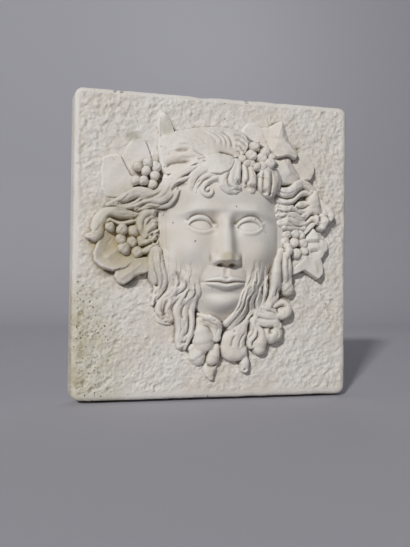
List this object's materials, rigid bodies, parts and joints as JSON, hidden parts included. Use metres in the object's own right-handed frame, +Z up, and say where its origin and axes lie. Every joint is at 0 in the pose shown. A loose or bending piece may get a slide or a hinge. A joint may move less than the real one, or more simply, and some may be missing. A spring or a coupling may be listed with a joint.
{
  "type": "plaster wall relief",
  "caption": "Rectangular cast plaster wall plaque with a high-relief mask of a bearded, vine-crowned wine god, a beast skin over the brow, and a flat back.",
  "frame": {"origin": "centre of the flat back face, which lies against the wall", "axes": "+Z up as the plaque hangs, +Y into the wall, the face looks along -Y, +X to the viewer's right"},
  "size_m": [0.2738, 0.0621, 0.2938],
  "materials": {
    "plaster": "matte, bare cast plaster"
  },
  "bodies": {
    "root": {"plaster_relief": "plaster"}
  },
  "joints": []
}
